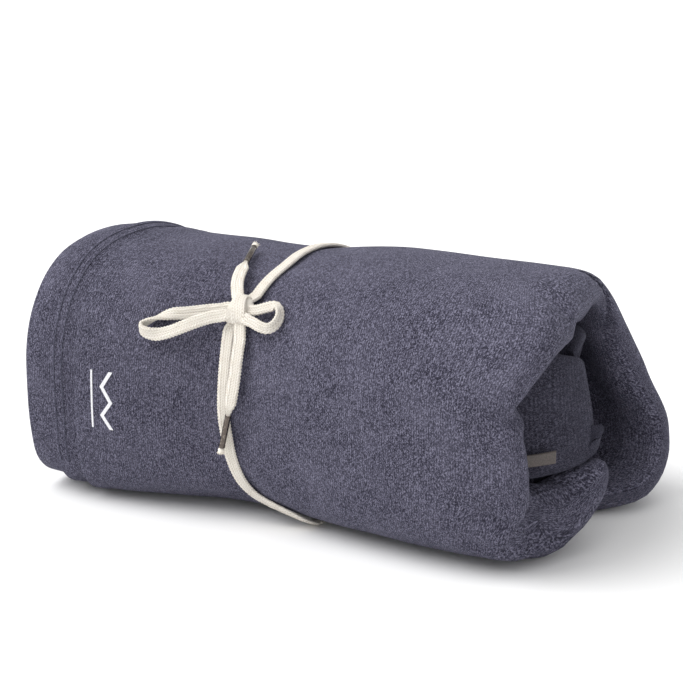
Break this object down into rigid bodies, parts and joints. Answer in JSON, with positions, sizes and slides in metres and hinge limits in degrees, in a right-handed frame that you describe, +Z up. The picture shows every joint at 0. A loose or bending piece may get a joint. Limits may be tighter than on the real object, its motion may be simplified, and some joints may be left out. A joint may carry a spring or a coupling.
{
  "type": "rolled fleece blanket",
  "caption": "Folded fleece blanket rolled into a bolster, tied around with a flat cotton drawcord in a bow with metal-tipped tails.",
  "frame": {"origin": "on the surface the roll lies on, below the middle of its bounding box", "axes": "+X along the roll from its hemmed end to its folded end, -Y to the front where the bow is, +Z up"},
  "size_m": [0.4011, 0.2331, 0.1815],
  "materials": {
    "fleece": "heathered navy sweatshirt fleece, matt, with a fine brushed pile",
    "stitching_thread": "tonal polyester sewing thread",
    "print_ink": "matt white screen print",
    "label_satin": "blank woven satin tape",
    "cotton_cord": "natural flat braided cotton",
    "dark_nickel": "dark nickel plate, satin"
  },
  "bodies": {
    "rolled_blanket": {"blanket_outer_turn": "fleece", "blanket_inner_turns": "fleece", "hem_stitch_outer_1": "stitching_thread", "hem_stitch_outer_2": "stitching_thread", "hem_stitch_inner_1": "stitching_thread", "hem_stitch_inner_2": "stitching_thread", "print_zigzag": "print_ink", "print_rule": "print_ink", "care_label": "label_satin", "tie_wrap": "cotton_cord", "bow_knot": "cotton_cord"},
    "lower_tail": {"tail_lower": "cotton_cord", "aglet_lower": "dark_nickel", "cord_end_lower": "cotton_cord"},
    "upper_tail": {"tail_upper": "cotton_cord", "aglet_upper": "dark_nickel", "cord_end_upper": "cotton_cord"},
    "left_loop": {"bow_loop_left": "cotton_cord"},
    "right_loop": {"bow_loop_right": "cotton_cord"}
  },
  "joints": [
    {"name": "lower_tail_lift", "type": "hinge", "parent": "rolled_blanket", "child": "lower_tail", "pos_m": [-0.04, -0.0827, 0.1505], "axis": [-1, 0, 0], "range_deg": [0, 25]},
    {"name": "upper_tail_lift", "type": "hinge", "parent": "rolled_blanket", "child": "upper_tail", "pos_m": [-0.04, -0.0827, 0.1505], "axis": [1, 0, 0], "range_deg": [0, 45]},
    {"name": "left_loop_lift", "type": "hinge", "parent": "rolled_blanket", "child": "left_loop", "pos_m": [-0.04, -0.0827, 0.1505], "axis": [0, 0.66, 0.7513], "range_deg": [0, 50]},
    {"name": "right_loop_lift", "type": "hinge", "parent": "rolled_blanket", "child": "right_loop", "pos_m": [-0.04, -0.0827, 0.1505], "axis": [0, -0.66, -0.7513], "range_deg": [0, 50]}
  ]
}
